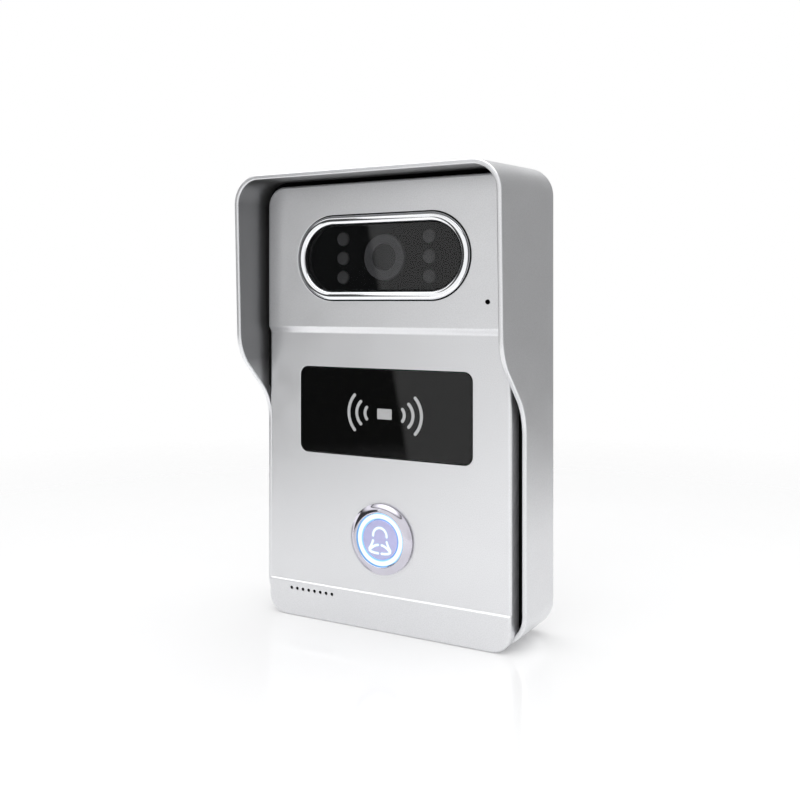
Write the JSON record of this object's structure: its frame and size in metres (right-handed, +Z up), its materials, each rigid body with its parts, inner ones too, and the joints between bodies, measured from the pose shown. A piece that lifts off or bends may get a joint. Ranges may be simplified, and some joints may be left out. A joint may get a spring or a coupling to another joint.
{
  "type": "video door station",
  "caption": "Outdoor video intercom door station: silver panel with camera window, card reader window and round lit call button, in a deep rain hood that screws to the wall.",
  "frame": {"origin": "centre of the hood's flat back face, which lies against the wall", "axes": "+Z up, -Y towards the visitor (front), +Y into the wall, +X to the right seen from the front"},
  "size_m": [0.1078, 0.0469, 0.1667],
  "materials": {
    "silver_paint": "fine satin metallic silver",
    "black_plastic": "fine matt texture",
    "black_glass": "polished, smoked",
    "chrome": "polished",
    "lens_ring": "satin",
    "lens_glass": "coated",
    "led_resin": "smoked resin",
    "button_metal": "satin, lit from behind",
    "light_guide": "frosted, glowing cool white",
    "rubber": "matt",
    "board_green": "solder mask",
    "steel": "zinc plated",
    "copper": "bright copper",
    "white_plastic": "natural",
    "blue_plastic": "moulded",
    "paper_cone": "pressed paper"
  },
  "bodies": {
    "station": {"antenna_coil": "copper", "board_screw_1": "steel", "board_screw_2": "steel", "board_screw_3": "steel", "board_screw_4": "steel", "button_bezel": "chrome", "button_guide": "white_plastic", "button_light_ring": "light_guide", "button_nut": "steel", "button_seal": "rubber", "button_spring": "steel", "button_switch": "black_plastic", "cable_grommet": "rubber", "cable_header": "white_plastic", "camera_bezel": "chrome", "camera_board": "board_green", "camera_screw_1": "steel", "camera_screw_2": "steel", "camera_window": "black_glass", "capacitor": "blue_plastic", "front_panel": "silver_paint", "hanger_hook_left": "steel", "hanger_hook_right": "steel", "housing_gasket": "rubber", "housing_screw_1": "steel", "housing_screw_2": "steel", "housing_screw_3": "steel", "housing_screw_4": "steel", "image_sensor": "black_plastic", "ir_led_1": "led_resin", "ir_led_2": "led_resin", "ir_led_3": "led_resin", "ir_led_4": "led_resin", "ir_led_5": "led_resin", "ir_led_6": "led_resin", "ir_led_board": "board_green", "led_mask": "black_plastic", "lens_barrel": "lens_ring", "lens_glass": "lens_glass", "lens_holder": "black_plastic", "lock_screw": "steel", "main_board": "board_green", "mic_boot": "rubber", "microphone": "steel", "processor": "black_plastic", "rain_hood": "silver_paint", "reader_board": "board_green", "reader_window": "black_glass", "rear_housing": "black_plastic", "relay": "black_plastic", "speaker_cone": "paper_cone", "speaker_frame": "steel", "speaker_gasket": "rubber", "speaker_magnet": "steel", "switch_pin_1": "copper", "switch_pin_2": "copper", "terminal_block": "blue_plastic"},
    "call_button": {"button_cap": "button_metal", "button_plunger": "white_plastic"}
  },
  "joints": [
    {"name": "button_travel", "type": "slide", "parent": "station", "child": "call_button", "axis": [0, 1, 0], "range_m": [0, 0.0018], "stiffness_N_per_m": 1000, "springref_m": -0.0015, "deforming": ["button_spring"]}
  ]
}
